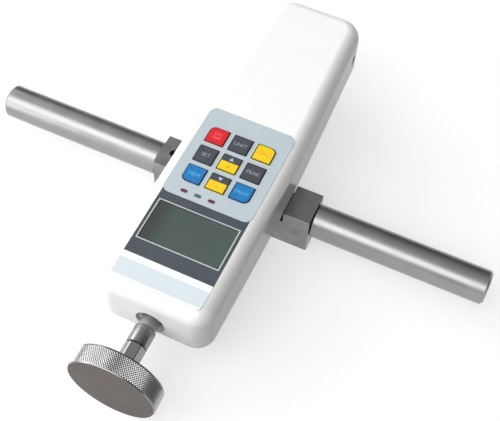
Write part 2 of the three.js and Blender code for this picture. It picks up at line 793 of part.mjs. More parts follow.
// Round cells in shrink wrap: a pack with a half round at each long edge.
function batteryPack() {
  const height = 2 * cellRadius * battery.layers;
  const edge = cellRadius;
  const radii = [edge, edge, edge, edge];
  const outline = rectangle(2 * batteryHalf, height, radii, origin, steps.corner);
  const geometry = new THREE.ExtrudeGeometry(new THREE.Shape(outline.map(({ point }) => point)), {
    depth: batteryLength,
    bevelEnabled: false,
  });
  geometry.rotateX(Math.PI / 2);
  geometry.translate(0, batteryStart + batteryLength, housing.wall + fit.seat + height / 2);
  return solid(geometry);
}

// The charger's socket: a barrel in the shell's hole, and a flange and body inside the wall.
function chargerJack() {
  const mouth = jackWall - jack.recess;
  const flange = housing.wall + jack.flangeGap - jack.recess;
  const body = flange + jack.flangeThickness;
  const profile = [
    [0, jack.boreDepth],
    [jack.boreRadius, jack.boreDepth],
    [jack.boreRadius, 0],
    [jack.barrelRadius, 0],
    [jack.barrelRadius, flange],
    [jack.flangeRadius, flange],
    [jack.flangeRadius, body],
    [jack.bodyRadius, body],
    [jack.bodyRadius, body + jack.bodyLength],
    [0, body + jack.bodyLength],
  ];
  return turned(profile, [-1, 0, 0], [mouth, jackPlace, jack.height]);
}

// The cradle bar: a block with a channel for the housing, bored at each end for a handle's stud.
function cradleBar() {
  const half = cradle.length / 2;
  const floor = cradle.height - cradle.channelDepth;
  const channel = channelWidth / 2;
  const shape = new THREE.Shape([
    flat(-half, 0),
    flat(half, 0),
    flat(half, cradle.height),
    flat(channel, cradle.height),
    flat(channel, floor),
    flat(-channel, floor),
    flat(-channel, cradle.height),
    flat(-half, cradle.height),
  ]);
  const geometry = new THREE.ExtrudeGeometry(shape, {
    depth: cradle.width - 2 * cradle.edge,
    bevelThickness: cradle.edge,
    bevelSize: cradle.edge,
    bevelOffset: -cradle.edge,
    bevelSegments: 1,
  });
  geometry.rotateX(Math.PI / 2);
  geometry.translate(0, cradle.width / 2 - cradle.edge, 0);
  let body = solid(geometry);
  const bore = rod.studRadius + fit.thread;
  const depth = rod.studLength + fit.thread + fit.overrun;
  for (const side of [1, -1]) {
    const mouth = [side * (half + fit.overrun), 0, rodHeight];
    body = cut(body, cylinder(bore, depth, [-side, 0, 0], mouth, steps.round));
    const x = (side * screwSpacing) / 2;
    const way = cradleScrew.shank + fit.thread;
    body = cut(body, cylinder(way, floor + 2 * fit.overrun, up, [x, 0, -fit.overrun]));
    const sink = cradleScrew.headHeight + fit.thread + fit.overrun;
    const well = cradleScrew.head + fit.thread;
    body = cut(body, cylinder(well, sink, up, [x, 0, -fit.overrun]));
  }
  const grubTop = cradle.height - rodHeight + fit.overrun;
  return cut(body, cylinder(grubScrew.radius + fit.thread, grubTop, up, [-earMiddle, 0, rodHeight]));
}

// One handle rod, along +X from its seat on the cradle, with a stud that screws into the cradle.
function handleRod() {
  const profile = [
    [0, -rod.studLength],
    [rod.studRadius, -rod.studLength],
    [rod.studRadius, 0],
    [rod.radius - rod.innerEdge, 0],
    [rod.radius, rod.innerEdge],
    [rod.radius, rod.length - rod.outerEdge],
    [rod.radius - rod.outerEdge, rod.length],
    [0, rod.length],
  ];
  return turned(profile, [1, 0, 0], [0, 0, 0], steps.rod);
}

// The grub screw in the left ear locks the left rod's stud.
function grubBody() {
  const bottom = rodHeight + rod.studRadius + fit.thread;
  const top = bottom + grubScrew.length;
  const socket = new THREE.CylinderGeometry(
    grubScrew.socket,
    grubScrew.socket,
    grubScrew.socketDepth + fit.overrun,
    steps.hexagon,
  );
  socket.rotateX(Math.PI / 2);
  socket.translate(0, 0, top + (fit.overrun - grubScrew.socketDepth) / 2);
  return cut(cylinder(grubScrew.radius, grubScrew.length, up, [0, 0, bottom]), solid(socket));
}

// The gauge proper is modelled from the outside of its sensor end and from its back.
const gauge = new THREE.Group();
gauge.position.set(0, -cradle.place, backHeight);
gauge.add(
  mesh("front_shell", frontShell(), finishes.shell),
  mesh("back_cover", backCover(), finishes.shell),
  mesh("keypad_panel", keypadPanel(), finishes.panel),
  mesh("display_window", displayWindow(), finishes.slate),
  mesh("label_foil", labelFoil(), finishes.label),
  mesh("display_module", displayModule(), finishes.glass),
  mesh("main_board", mainBoard(), finishes.board),
  mesh("key_contact_sheet", keyContacts(), finishes.rubber),
  mesh("load_cell", loadCell(), finishes.aluminium),
  mesh("cell_bracket", cellBracket(), finishes.steel),
  mesh("spindle", spindleBody(), finishes.steel),
  mesh("hex_coupler", couplerBody(), finishes.steel),
  mesh("pressure_disc", discBody(), finishes.steel),
  mesh("battery_pack", batteryPack(), finishes.wrap),
  mesh("charger_jack", chargerJack(), finishes.socket),
);

keyPlaces.forEach(([x, y], i) => {
  const [row, column] = keyCell(i);
  const key = mesh(keyNames[row][column], keyBody(row, column), keyFinishes[row][column]);
  key.position.set(x, y, 0);
  gauge.add(key);
});

const lampNames = ["high_lamp", "good_lamp", "low_lamp"];
lampPlaces.forEach(([x, y], i) => {
  const body = slab(lampOutline, boardTop + fit.seat, housing.height + lamp.rise);
  const lens = mesh(lampNames[i], body, i === 1 ? finishes.greenLamp : finishes.lamp);
  lens.position.set(x, y, 0);
  gauge.add(lens);
});

const sides = ["right", "left"];
const ends = ["sensor", "tail"];
const shellScrewNames = ends.flatMap((end) => sides.map((side) => `shell_screw_${end}_${side}`));
const shellScrewPlaces = bossPlaces.map(([x, y]) => [x, y, boss.sinkDepth - fit.seat]);
const boardScrewNames = ends.flatMap((end) => sides.map((side) => `board_screw_${end}_${side}`));
const boardScrewPlaces = postPlaces.map(([x, y]) => [x, y, boardTop - board.thickness - fit.seat]);
const bracketScrewNames = sides.map((side) => `bracket_screw_${side}`);
const bracketTop = bracketBase + bracket.base + fit.seat;
const bracketHeads = bracketScrewPlaces.map(([x, y]) => [x, y, bracketTop]);
const cellBoltPlace = [0, bracketStart + bracket.upright + fit.seat, train.height];
gauge.add(
  ...screws(shellScrew, shellScrewNames, shellScrewPlaces, up),
  ...screws(boardScrew, boardScrewNames, boardScrewPlaces, up),
  ...screws(bracketScrew, bracketScrewNames, bracketHeads, [0, 0, -1]),
  ...screws(cellBolt, ["cell_bolt"], [cellBoltPlace], [0, -1, 0]),
);

const handle = new THREE.Group();
handle.add(mesh("cradle_bar", cradleBar(), finishes.polished));
sides.forEach((side, i) => {
  const bar = mesh(`handle_rod_${side}`, handleRod(), finishes.polished);
  const direction = i === 0 ? 1 : -1;
  bar.position.set(direction * (cradle.length / 2 + fit.thread), 0, rodHeight);
  bar.rotation.z = i === 0 ? 0 : Math.PI;
  handle.add(bar);
});
const cradleScrewNames = sides.map((side) => `cradle_screw_${side}`);
const cradleScrewPlaces = [1, -1].map((side) => [
  (side * screwSpacing) / 2,
  0,
  cradleScrew.headHeight,
]);
handle.add(...screws(cradleScrew, cradleScrewNames, cradleScrewPlaces, up));
const grub = mesh("grub_screw", grubBody(), finishes.socket);
grub.position.set(-earMiddle, 0, 0);
handle.add(grub);

const group = new THREE.Group();
group.add(gauge, handle);

export default group;
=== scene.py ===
import math

import bmesh
import bpy
from mathutils import Matrix, Vector


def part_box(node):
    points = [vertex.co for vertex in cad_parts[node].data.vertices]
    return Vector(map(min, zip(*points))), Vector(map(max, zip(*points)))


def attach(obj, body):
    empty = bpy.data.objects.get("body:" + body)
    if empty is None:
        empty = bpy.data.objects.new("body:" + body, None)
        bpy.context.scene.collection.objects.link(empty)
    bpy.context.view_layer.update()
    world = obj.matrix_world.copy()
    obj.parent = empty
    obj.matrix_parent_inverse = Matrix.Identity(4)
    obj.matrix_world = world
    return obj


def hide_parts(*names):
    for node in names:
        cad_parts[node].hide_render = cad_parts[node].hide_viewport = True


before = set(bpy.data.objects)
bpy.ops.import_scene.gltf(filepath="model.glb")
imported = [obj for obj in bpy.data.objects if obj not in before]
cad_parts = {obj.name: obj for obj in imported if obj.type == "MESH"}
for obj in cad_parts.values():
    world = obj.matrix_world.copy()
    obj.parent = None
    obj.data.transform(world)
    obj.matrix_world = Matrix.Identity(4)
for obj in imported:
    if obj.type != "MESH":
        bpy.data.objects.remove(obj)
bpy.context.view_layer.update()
bpy.context.scene.view_settings.view_transform = "Standard"

# The housing: two mouldings of glossy white ABS that meet at a seam low on the sides. The plan has
# convex sides up to the shoulder and then tapers to the tail, and all its edges are rounded.
# Four screws from the back hold the two together.
mm = 0.001


def select_only(piece):
    bpy.ops.object.select_all(action="DESELECT")
    piece.select_set(True)
    bpy.context.view_layer.objects.active = piece


def start_edit(piece):
    select_only(piece)
    bpy.ops.object.mode_set(mode="EDIT")
    bpy.ops.mesh.select_all(action="DESELECT")


def end_edit():
    bpy.ops.object.mode_set(mode="OBJECT")


def pick(kind, test):
    """Selects the vertices, edges or faces whose corners, in millimetres, pass a test."""
    bpy.ops.mesh.select_mode(type=kind)
    bpy.ops.mesh.select_all(action="DESELECT")
    shape = bmesh.from_edit_mesh(bpy.context.edit_object.data)
    parts = {"VERT": shape.verts, "EDGE": shape.edges, "FACE": shape.faces}[kind]
    for part in parts:
        corners = [part] if kind == "VERT" else part.verts
        if test([corner.co / mm for corner in corners]):
            part.select_set(True)
    shape.select_flush_mode()
    bmesh.update_edit_mesh(bpy.context.edit_object.data)


def near(value, wanted):
    return abs(value - wanted) < 0.01


def upright(ends):
    return near(ends[0].x, ends[1].x) and near(ends[0].y, ends[1].y)


def slice_at(axis, place, **cleared):
    """Cuts all of the open piece across an axis, and may clear what lies on one side."""
    normal = Vector([float(axis == name) for name in "xyz"])
    bpy.ops.mesh.select_mode(type="VERT")
    bpy.ops.mesh.select_all(action="SELECT")
    bpy.ops.mesh.bisect(plane_co=normal * place * mm, plane_no=normal, threshold=1e-7, **cleared)


def round_off(radius, steps):
    bpy.ops.mesh.bevel(
        offset=radius * mm, segments=steps, profile=0.5, affect="EDGES", clamp_overlap=False
    )


def settle(name):
    """Names the new primitive, and puts its place, turn and scale into its mesh."""
    bpy.ops.object.transform_apply(location=True, rotation=True, scale=True)
    bpy.context.object.name = name
    return bpy.context.object


def block(name, low, high):
    """A cube between two corners, with its object at the origin."""
    bpy.ops.object.select_all(action="DESELECT")
    low, high = Vector(low) * mm, Vector(high) * mm
    bpy.ops.mesh.primitive_cube_add(size=1, location=(low + high) / 2, scale=high - low)
    return settle(name)


def plate(name, low, high, radius, steps=8):
    """A block whose four upright edges are rounded off."""
    made = block(name, low, high)
    start_edit(made)
    pick("EDGE", upright)
    round_off(radius, steps)
    end_edit()
    return made


def turning(name, axis, centre, stations, steps):
    """A turned piece: a disc drawn out along an axis through stations of place and radius."""
    direction = Vector([float(axis == letter) for letter in "xyz"])
    turn = {"x": (0, math.pi / 2, 0), "y": (-math.pi / 2, 0, 0), "z": (0, 0, 0)}[axis]
    across = direction.dot(Vector(centre))
    middle = Vector(centre) - direction * across
    place, radius = stations[0]
    bpy.ops.object.select_all(action="DESELECT")
    bpy.ops.mesh.primitive_circle_add(
        vertices=steps,
        radius=radius * mm,
        fill_type="NGON",
        location=(middle + direction * place) * mm,
        rotation=turn,
    )
    made = settle(name)
    start_edit(made)
    bpy.ops.mesh.select_mode(type="FACE")
    bpy.ops.mesh.select_all(action="SELECT")
    for next_place, next_radius in stations[1:]:
        step = direction * (next_place - place) * mm
        bpy.ops.mesh.extrude_region_move(TRANSFORM_OT_translate={"value": step})
        share = next_radius / radius
        bpy.ops.transform.resize(
            value=(share, share, share), center_override=(middle + direction * next_place) * mm
        )
        place, radius = next_place, next_radius
    bpy.ops.mesh.select_all(action="SELECT")
    bpy.ops.mesh.normals_make_consistent(inside=False)
    end_edit()
    return made


def copy_of(piece, name, move=(0, 0, 0)):
    twin = piece.copy()
    twin.data = piece.data.copy()
    twin.name = name
    twin.data.transform(Matrix.Translation(Vector(move) * mm))
    bpy.context.scene.collection.objects.link(twin)
    return twin


def joined(pieces):
    bpy.ops.object.select_all(action="DESELECT")
    for piece in pieces:
        piece.select_set(True)
    bpy.context.view_layer.objects.active = pieces[0]
    bpy.ops.object.join()
    return bpy.context.object


def apply_modifier(piece, kind, **settings):
    select_only(piece)
    modifier = piece.modifiers.new(kind.lower(), kind)
    for setting, value in settings.items():
        setattr(modifier, setting, value)
    bpy.ops.object.modifier_apply(modifier=modifier.name)


def carve(piece, tool, operation="DIFFERENCE", keep_tool=False):
    apply_modifier(piece, "BOOLEAN", object=tool, operation=operation, solver="EXACT")
    if not keep_tool:
        bpy.data.objects.remove(tool)


def smooth(piece, angle=30):
    """Rounds the shading of the faces that meet below an angle, and keeps the flat ones flat."""
    select_only(piece)
    bpy.ops.object.shade_smooth_by_angle(angle=math.radians(angle))
    apply_modifier(piece, "WEIGHTED_NORMAL", keep_sharp=True, weight=80)


sensor_y, shoulder_y, tail_y = -106.1, 19.94, 123.9
back_z, seam_z, front_z = 20.2, 29.2, 56.2
sensor_half, bulge_half, shoulder_half, tail_half = 32.208, 33.738, 32.505, 28.215
bulge_y = -9.935
sensor_corner, tail_corner, front_edge, back_edge = 10.5, 13, 8.5, 7
side_steps, corner_steps, edge_steps = 12, 14, 10
wall, groove = 2.5, 0.2

housing = block("housing", (-sensor_half, sensor_y, back_z), (sensor_half, tail_y, front_z))
start_edit(housing)
side_stations = []
for i in range(1, side_steps + 1):
    share = i / side_steps
    before, both, after = (1 - share) ** 2, 2 * share * (1 - share), share**2
    place = before * sensor_y + both * bulge_y + after * shoulder_y
    half = before * sensor_half + both * bulge_half + after * shoulder_half
    side_stations.append((place, half))
    slice_at("y", place)
side_stations.append((tail_y, tail_half))
for place, half in side_stations:
    pick("VERT", lambda points, y=place: near(points[0].y, y))
    share = half / sensor_half
    bpy.ops.transform.resize(value=(share, 1, 1), center_override=(0, place * mm, 0))
for level in (back_z, front_z):
    pick("FACE", lambda points, z=level: all(near(point.z, z) for point in points))
    bpy.ops.mesh.dissolve_faces()
pick("EDGE", lambda ends: upright(ends) and near(ends[0].y, sensor_y))
round_off(sensor_corner, corner_steps)
pick("EDGE", lambda ends: upright(ends) and near(ends[0].y, tail_y))
round_off(tail_corner, corner_steps)
pick("EDGE", lambda ends: all(near(end.z, front_z) for end in ends))
round_off(front_edge, edge_steps)
pick("EDGE", lambda ends: all(near(end.z, back_z) for end in ends))
round_off(back_edge, edge_steps)
for level in (seam_z - groove, seam_z, seam_z + groove):
    slice_at("z", level)
end_edit()
seam_line = {
    (round(v.co.x / mm, 2), round(v.co.y / mm, 2))
    for v in housing.data.vertices
    if near(v.co.z / mm, seam_z)
}

# The housing is cut at the seam, each half is hollowed out from there, and the seam's outer edges
# are drawn in to a fine groove.
back_moulding = copy_of(housing, "back_moulding")
front_moulding = housing
front_moulding.name = "front_moulding"
for shell, cleared in ((front_moulding, "clear_inner"), (back_moulding, "clear_outer")):
    start_edit(shell)
    slice_at("z", seam_z, **{cleared: True})
    end_edit()
    apply_modifier(shell, "SOLIDIFY", thickness=wall * mm, offset=-1, use_even_offset=True)
    start_edit(shell)
    pick(
        "VERT",
        lambda points: near(points[0].z, seam_z)
        and (round(points[0].x, 2), round(points[0].y, 2)) in seam_line,
    )
    bpy.ops.transform.shrink_fatten(value=-groove * mm)
    end_edit()

# The bosses inside, which the housing's and the board's screws go into.
shell_screws = [(side * x, y) for x, y in ((23.81, -92.4), (20.97, 95.9)) for side in (1, -1)]
board_screws = [(side * 23.9, y) for y in (-82.5, 12.8) for side in (1, -1)]
cradle_screw_x = 20
boss_steps = 24
front_boss = turning(
    "front_boss", "z", (0, 0, 0), [(48, 1.5), (29.4, 1.5), (29.4, 4), (54.9, 4)], boss_steps
)
board_post = turning(
    "board_post", "z", (0, 0, 0), [(54.6, 1.3), (51.9, 1.3), (51.9, 3), (54.9, 3)], boss_steps
)
for i, (x, y) in enumerate(shell_screws):
    carve(front_moulding, copy_of(front_boss, f"boss_{i}", (x, y, 0)), "UNION")
for i, (x, y) in enumerate(board_screws):
    carve(front_moulding, copy_of(board_post, f"post_{i}", (x, y, 0)), "UNION")
bpy.data.objects.remove(front_boss)
bpy.data.objects.remove(board_post)

back_boss = turning("back_boss", "z", (0, 0, 0), [(21.5, 4), (29.2, 4)], boss_steps)
cradle_boss = turning("cradle_boss", "z", (0, 0, 0), [(21.5, 5), (29.7, 5)], boss_steps)
sink_stations = [(19, 3.1), (22, 3.1), (22, 1.8), (30, 1.8)]
sinks = []
for i, (x, y) in enumerate(shell_screws):
    carve(back_moulding, copy_of(back_boss, f"boss_{i}", (x, y, 0)), "UNION")
    sinks.append(turning(f"sink_{i}", "z", (x, y, 0), sink_stations, boss_steps))
for side in (1, -1):
    place = (side * cradle_screw_x, 0, 0)
    carve(back_moulding, copy_of(cradle_boss, "boss", place), "UNION")
    sinks.append(turning("screw_hole", "z", place, [(19, 2.8), (28.7, 2.8)], boss_steps))
bpy.data.objects.remove(back_boss)
bpy.data.objects.remove(cradle_boss)
carve(back_moulding, joined(sinks))

# The spindle's way out of the sensor end has a shallow round recess, and crosses the seam.
spindle_z = 34.2
mouth_end, mouth_radius, shaft_hole = -104.1, 8.3, 5.5
way_stations = [
    (-110, mouth_radius),
    (mouth_end, mouth_radius),
    (mouth_end, shaft_hole),
    (-98, shaft_hole),
]
way = turning("way", "y", (0, 0, spindle_z), way_stations, 64)
carve(front_moulding, way, keep_tool=True)
carve(back_moulding, way)

# The charger's socket shows through a hole in the right side.
socket_y, socket_z, socket_hole = 107.4, 37.2, 3
socket_way = [(20, socket_hole), (34, socket_hole)]
carve(front_moulding, turning("way", "x", (0, socket_y, socket_z), socket_way, 40))

# The foils lie in a recess, and the keys, the lamps and the display pass through the front.
recess_floor = 55.2
below_front, above_front = 50, 58
foil_gap = 0.12
panel_corner, lower_corner, foil_corner, opening_corner = 4.4, 3, 0.6, 0.9
panel_low, panel_high = (-26.2, -42.7), (26.2, 20.9)
foil_half = 25.5
window_low, window_high = -84.3, -35.2
label_low, label_high = -100, -84.5
display_half, display_low, display_high = 23, -74.4, -49


def grown(low, high, bottom, top, grow):
    """The two corners of a block over a rectangle, grown all round."""
    return (low[0] - grow, low[1] - grow, bottom), (high[0] + grow, high[1] + grow, top)


carve(
    front_moulding,
    plate(
        "recess",
        *grown(panel_low, panel_high, recess_floor, above_front, foil_gap),
        panel_corner + foil_gap,
    ),
)
lower_low, lower_high = (-foil_half, label_low), (foil_half, window_high)
carve(
    front_moulding,
    plate(
        "recess",
        *grown(lower_low, lower_high, recess_floor, above_front, foil_gap),
        lower_corner + foil_gap,
    ),
)

key_half = 5.75
key_columns = {"left": -14.2, "middle": 0, "right": 14.2}
key_rows = {"top": 2.35, "centre": -12.1, "bottom": -26.55}
key_gap, lamp_gap, display_gap = 0.15, 0.1, 0.3
tight_corner, wide_corner = 0.5, 3.6


def around(x, y, half_x, half_y):
    """The two corners of a rectangle round its middle."""
    return (x - half_x, y - half_y), (x + half_x, y + half_y)


def key_plate(name, x, y, bottom, top, grow, wide):
    """A key's outline drawn up: tight corners, but a wide one at a corner of the keypad."""
    made = block(name, *grown(*around(x, y, key_half, key_half), bottom, top, grow))
    start_edit(made)
    for radius, steps, is_wide in ((tight_corner, 3, False), (wide_corner, 10, True)):
        pick(
            "EDGE",
            lambda ends, kept=is_wide: upright(ends)
            and near(abs(ends[0].x - x), key_half + grow)
            and near(abs(ends[0].y - y), key_half + grow)
            and ((ends[0].x - x) * wide[0] > 0 and (ends[0].y - y) * wide[1] > 0) == kept,
        )
        round_off(radius + grow, steps)
    end_edit()
    return made


keys = {
    "power": ("left", "top", (-1, 1)),
    "unit": ("middle", "top", (0, 0)),
    "zero": ("right", "top", (1, 1)),
    "set": ("left", "centre", (0, 0)),
    "up": ("middle", "centre", (0, 0)),
    "peak": ("right", "centre", (0, 0)),
    "memory": ("left", "bottom", (-1, -1)),
    "down": ("middle", "bottom", (0, 0)),
    "print": ("right", "bottom", (1, -1)),
}
lamps = {"high": -14.3, "good": -6.2, "low": 1.9}
lamp_y, lamp_half = -38.4, (1.9, 1)
apertures = [
    key_plate(
        f"{name}_hole",
        key_columns[column],
        key_rows[row],
        below_front,
        above_front,
        key_gap,
        wide,
    )
    for name, (column, row, wide) in keys.items()
]
for name, x in lamps.items():
    hole = grown(*around(x, lamp_y, *lamp_half), below_front, above_front, lamp_gap)
    apertures.append(plate(f"{name}_hole", *hole, opening_corner, 4))
display_corners = (-display_half, display_low), (display_half, display_high)
hole = grown(*display_corners, below_front, above_front, display_gap)
apertures.append(plate("display_hole", *hole, opening_corner, 4))
aperture_tool = joined(apertures)
carve(front_moulding, aperture_tool, keep_tool=True)


def linear(colour):
    """The linear values of a hex sRGB colour."""
    values = [int(colour[i : i + 2], 16) / 255 for i in (1, 3, 5)]
    return [v / 12.92 if v <= 0.04045 else ((v + 0.055) / 1.055) ** 2.4 for v in values] + [1]


def new_material(name, **sockets):
    """A material with a Principled shader whose constants are set, and its node tree."""
    material = bpy.data.materials.new(name)
    material.use_nodes = True
    tree = material.node_tree
    shader = tree.nodes["Principled BSDF"]
    for socket, value in sockets.items():
        shader.inputs[socket.replace("_", " ")].default_value = value
    return material, tree, shader


def add_node(tree, kind, links=(), **settings):
    """Adds a node: settings are its own, links give each socket a value or another socket."""
    node = tree.nodes.new(kind)
    for setting, value in settings.items():
        setattr(node, setting, value)
    for socket, value in dict(links).items():
        if isinstance(value, bpy.types.NodeSocket):
            tree.links.new(value, node.inputs[socket])
        else:
            node.inputs[socket].default_value = value
    return node


def wear_in(tree, shader, colours, grain, roughness, bump):
    """Clouds two colours and the gloss over a grain in millimetres, and gives the surface a bump.

    A single colour stays even.
    """
    cloud_size = grain * 24
    place = add_node(tree, "ShaderNodeTexCoord").outputs["Object"]
    coarse = add_node(
        tree, "ShaderNodeTexNoise", {"Vector": place, "Scale": 1 / (cloud_size * mm), "Detail": 4}
    ).outputs["Fac"]
    fine = add_node(
        tree, "ShaderNodeTexNoise", {"Vector": place, "Scale": 1 / (grain * mm), "Detail": 3}
    ).outputs["Fac"]
    cloud = None
    shader.inputs["Base Color"].default_value = linear(colours[0])
    if len(colours) > 1:
        cloud = add_node(
            tree,
            "ShaderNodeMix",
            {0: coarse, 6: linear(colours[0]), 7: linear(colours[1])},
            data_type="RGBA",
        ).outputs[2]
        tree.links.new(cloud, shader.inputs["Base Color"])
    gloss = add_node(
        tree,
        "ShaderNodeMapRange",
        {
            "Value": coarse,
            "From Min": 0.3,
            "From Max": 0.7,
            "To Min": roughness[0],
            "To Max": roughness[1],
        },
    )
    tree.links.new(gloss.outputs[0], shader.inputs["Roughness"])
    relief = add_node(
        tree, "ShaderNodeBump", {"Height": fine, "Strength": bump, "Distance": grain * 0.2 * mm}
    )
    tree.links.new(relief.outputs[0], shader.inputs["Normal"])
    return place, cloud, relief


def coat_picked(piece, slot):
    """Gives the picked faces one of the piece's materials, by its slot."""
    piece.active_material_index = slot
    bpy.ops.object.material_slot_assign()


def from_spindle(point):
    """How far a point, in millimetres, lies from the spindle's axis."""
    return math.hypot(point.x, point.z - spindle_z)


# Moulded ABS from a polished mould: glossy white, with a faint orange peel.
white_abs, tree, shader = new_material("moulded_white_abs", IOR=1.53)
wear_in(tree, shader, ("#f3f3f1", "#f8f8f7"), 1.2, (0.2, 0.26), 0.12)

# The recess round the spindle keeps the mould's rough finish, and its grey is painted shade for the
# shadow in it.
recess_painted_shade_abs, tree, shader = new_material("white_abs_recess_painted_shade", IOR=1.53)
wear_in(tree, shader, ("#b9b8ba", "#c5c4c6"), 0.6, (0.5, 0.6), 0.2)

for moulding, node in ((front_moulding, "front_shell"), (back_moulding, "back_cover")):
    smooth(moulding, 32)
    moulding.data.materials.clear()
    moulding.data.materials.append(white_abs)
    moulding.data.materials.append(recess_painted_shade_abs)
    start_edit(moulding)
    # The recess's faces take the grey material, which paints shade into the recess.
    pick(
        "FACE",
        lambda points: all(
            point.y < mouth_end + 0.1 and from_spindle(point) < mouth_radius + 0.1
            for point in points
        ),
    )
    coat_picked(moulding, 1)
    end_edit()
    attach(moulding, "gauge")
    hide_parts(node)

# The keypad's foil: satin polyester, printed blue-grey on its back and stuck into the recess.
# The keys and the lamps come through it.
foil_bottom = recess_floor + 0.05
panel_corners = grown(panel_low, panel_high, foil_bottom, front_z, 0)
panel_foil = plate("panel_foil", *panel_corners, panel_corner, 12)
carve(panel_foil, aperture_tool)
panel_print, tree, shader = new_material("printed_polyester_blue_grey", IOR=1.57)
wear_in(tree, shader, ("#b5c2c9", "#bdc9cf"), 0.5, (0.38, 0.46), 0.1)
smooth(panel_foil)
panel_foil.data.materials.append(panel_print)
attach(panel_foil, "gauge")
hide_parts("keypad_panel")

# The window's foil: the same polyester, printed slate, with a pale line round the display. It
# reaches up beside the panel's two rounded lower corners.
line_out, line_width = 0.5, 0.68
window_foil = plate(
    "window_foil",
    (-foil_half, window_low, foil_bottom),
    (foil_half, window_high, front_z),
    foil_corner,
    4,
)
panel_space = grown(panel_low, panel_high, below_front, above_front, foil_gap)
carve(window_foil, plate("panel_tool", *panel_space, panel_corner + foil_gap, 12))
display_space = grown(*display_corners, below_front, above_front, 0.05)
carve(window_foil, plate("display_tool", *display_space, foil_corner, 4))
window_print, tree, shader = new_material("printed_polyester_slate", IOR=1.57)
place, cloud, _ = wear_in(tree, shader, ("#404750", "#495059"), 0.5, (0.3, 0.38), 0.08)
parts = add_node(tree, "ShaderNodeSeparateXYZ", {0: place})
across = add_node(tree, "ShaderNodeMath", {0: parts.outputs["X"]}, operation="ABSOLUTE")
from_side = add_node(
    tree, "ShaderNodeMath", {0: across.outputs[0], 1: display_half * mm}, operation="SUBTRACT"
)
display_middle = (display_low + display_high) / 2
centred = add_node(
    tree, "ShaderNodeMath", {0: parts.outputs["Y"], 1: display_middle * mm}, operation="SUBTRACT"
)
along = add_node(tree, "ShaderNodeMath", {0: centred.outputs[0]}, operation="ABSOLUTE")
from_end = add_node(
    tree,
    "ShaderNodeMath",
    {0: along.outputs[0], 1: (display_high - display_middle) * mm},
    operation="SUBTRACT",
)
outside = add_node(
    tree, "ShaderNodeMath", {0: from_side.outputs[0], 1: from_end.outputs[0]}, operation="MAXIMUM"
)
on_line = add_node(
    tree,
    "ShaderNodeMath",
    {0: outside.outputs[0], 1: line_out * mm, 2: line_width / 2 * mm},
    operation="COMPARE",
)
printed = add_node(
    tree,
    "ShaderNodeMix",
    {0: on_line.outputs[0], 6: cloud, 7: linear("#bcc5c5")},
    data_type="RGBA",
)
tree.links.new(printed.outputs[2], shader.inputs["Base Color"])
smooth(window_foil)
window_foil.data.materials.append(window_print)
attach(window_foil, "gauge")
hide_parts("display_window")

# The label's foil, at the sensor end: white polyester with a very pale blue field, left without
# words.
field_middle, field_half = -93.4, 5
label_foil = block(
    "label_strip", (-foil_half, label_low, foil_bottom), (foil_half, label_high, front_z)
)
start_edit(label_foil)
pick("EDGE", lambda ends: upright(ends) and near(ends[0].y, label_low))
round_off(lower_corner, 8)
pick("EDGE", lambda ends: upright(ends) and near(ends[0].y, label_high))
round_off(foil_corner, 3)
end_edit()
label_print, tree, shader = new_material("printed_polyester_white", IOR=1.57)
place, cloud, _ = wear_in(tree, shader, ("#f2f4f5", "#f6f7f8"), 0.5, (0.36, 0.44), 0.08)
parts = add_node(tree, "ShaderNodeSeparateXYZ", {0: place})
in_field = add_node(
    tree,
    "ShaderNodeMath",
    {0: parts.outputs["Y"], 1: field_middle * mm, 2: field_half * mm},
    operation="COMPARE",
)
printed = add_node(
    tree,
    "ShaderNodeMix",
    {0: in_field.outputs[0], 6: cloud, 7: linear("#d5dfe6")},
    data_type="RGBA",
)
tree.links.new(printed.outputs[2], shader.inputs["Base Color"])
smooth(label_foil)
label_foil.data.materials.append(label_print)
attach(label_foil, "gauge")
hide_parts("label_foil")

# The display: a reflective liquid crystal glass, grey-green while it shows nothing, in a tray that
# stands on the board. Its edge is ground to a small bevel.
glass_bottom, glass_top, glass_bevel = 53.3, 55.9, 0.25
tray_bottom, tray_top, tray_rim = 51.95, 53.25, 2.6
glass_corners = grown(*display_corners, glass_bottom, glass_top, 0)
display_glass = plate("display_glass", *glass_corners, foil_corner, 4)
start_edit(display_glass)
pick("EDGE", lambda ends: all(near(end.z, glass_top) for end in ends))
round_off(glass_bevel, 2)
end_edit()
tray = plate("tray", *grown(*display_corners, tray_bottom, tray_top, tray_rim), 1.5, 4)
display_glass = joined([display_glass, tray])

# Glass under a polarising film: a soft gloss, and darker on the left, where its frame shades it.
shade_end = -9
crystal, tree, shader = new_material("crystal_glass", IOR=1.5, Coat_Weight=0.6, Coat_Roughness=0.06)
place, cloud, _ = wear_in(tree, shader, ("#414f46", "#485850"), 1, (0.2, 0.26), 0.02)
parts = add_node(tree, "ShaderNodeSeparateXYZ", {0: place})
from_left = add_node(
    tree,
    "ShaderNodeMapRange",
    {"Value": parts.outputs["X"], "From Min": -display_half * mm, "From Max": shade_end * mm},
    interpolation_type="SMOOTHSTEP",
)
shaded = add_node(
    tree,
    "ShaderNodeMix",
    {0: from_left.outputs[0], 6: linear("#363836"), 7: cloud},
    data_type="RGBA",
)
tree.links.new(shaded.outputs[2], shader.inputs["Base Color"])
smooth(display_glass)
display_glass.data.materials.append(crystal)
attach(display_glass, "gauge")
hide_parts("display_module")

